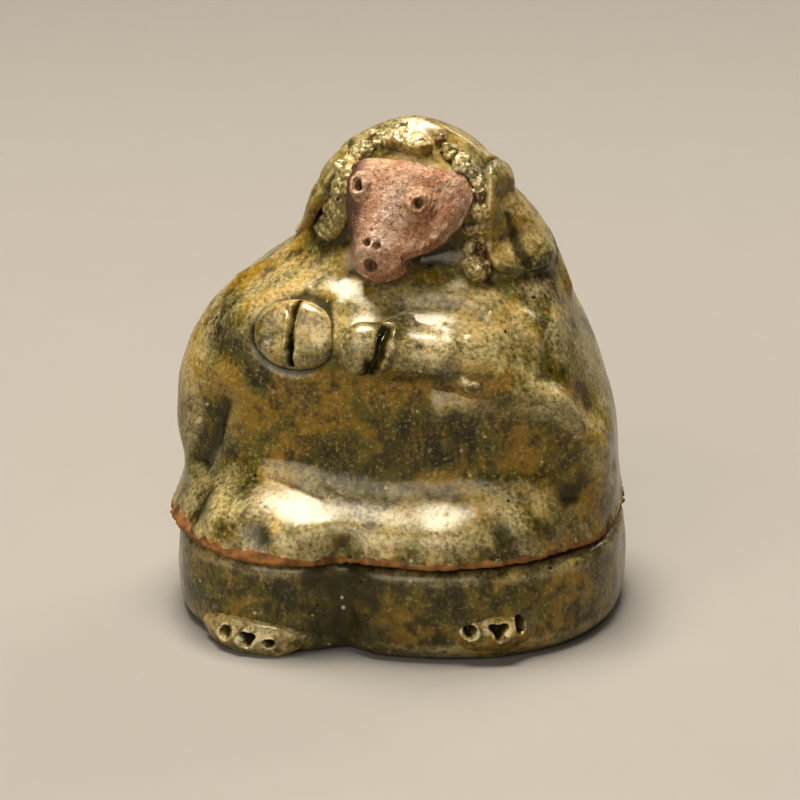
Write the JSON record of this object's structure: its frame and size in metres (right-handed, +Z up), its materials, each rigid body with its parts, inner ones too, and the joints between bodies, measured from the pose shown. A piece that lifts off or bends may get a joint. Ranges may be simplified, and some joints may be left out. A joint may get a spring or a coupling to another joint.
{
  "type": "kogo incense box",
  "caption": "Glazed ceramic incense box shaped as a seated monkey: a shallow footed dish with a locating flange, and a hollow lid that lifts off at the seam.",
  "frame": {"origin": "middle of the dish's flat underside, on the table, below the middle of the plan at the seam", "axes": "+Z up, the figure faces -Y, and its own left side is +X"},
  "size_m": [0.0632, 0.0545, 0.07],
  "materials": {
    "olive_glaze": "glossy olive and amber wood-ash glaze over stoneware",
    "bare_red_clay": "matt unglazed red clay"
  },
  "bodies": {
    "dish": {"base_dish": "olive_glaze", "right_foot": "olive_glaze", "left_foot": "olive_glaze"},
    "lid": {"lid_shell": "olive_glaze", "left_arm": "olive_glaze", "right_hand": "olive_glaze", "face_plaque": "bare_red_clay", "right_eye_ring": "bare_red_clay", "left_eye_ring": "bare_red_clay", "brow_pad": "olive_glaze", "hair_crumbs": "olive_glaze", "right_hair_lock": "olive_glaze", "right_ear_flap": "olive_glaze", "left_ear_flap": "olive_glaze"}
  },
  "joints": [
    {"name": "lid_lift", "type": "slide", "parent": "dish", "child": "lid", "axis": [0, 0, 1], "range_m": [0, 0.045]}
  ]
}
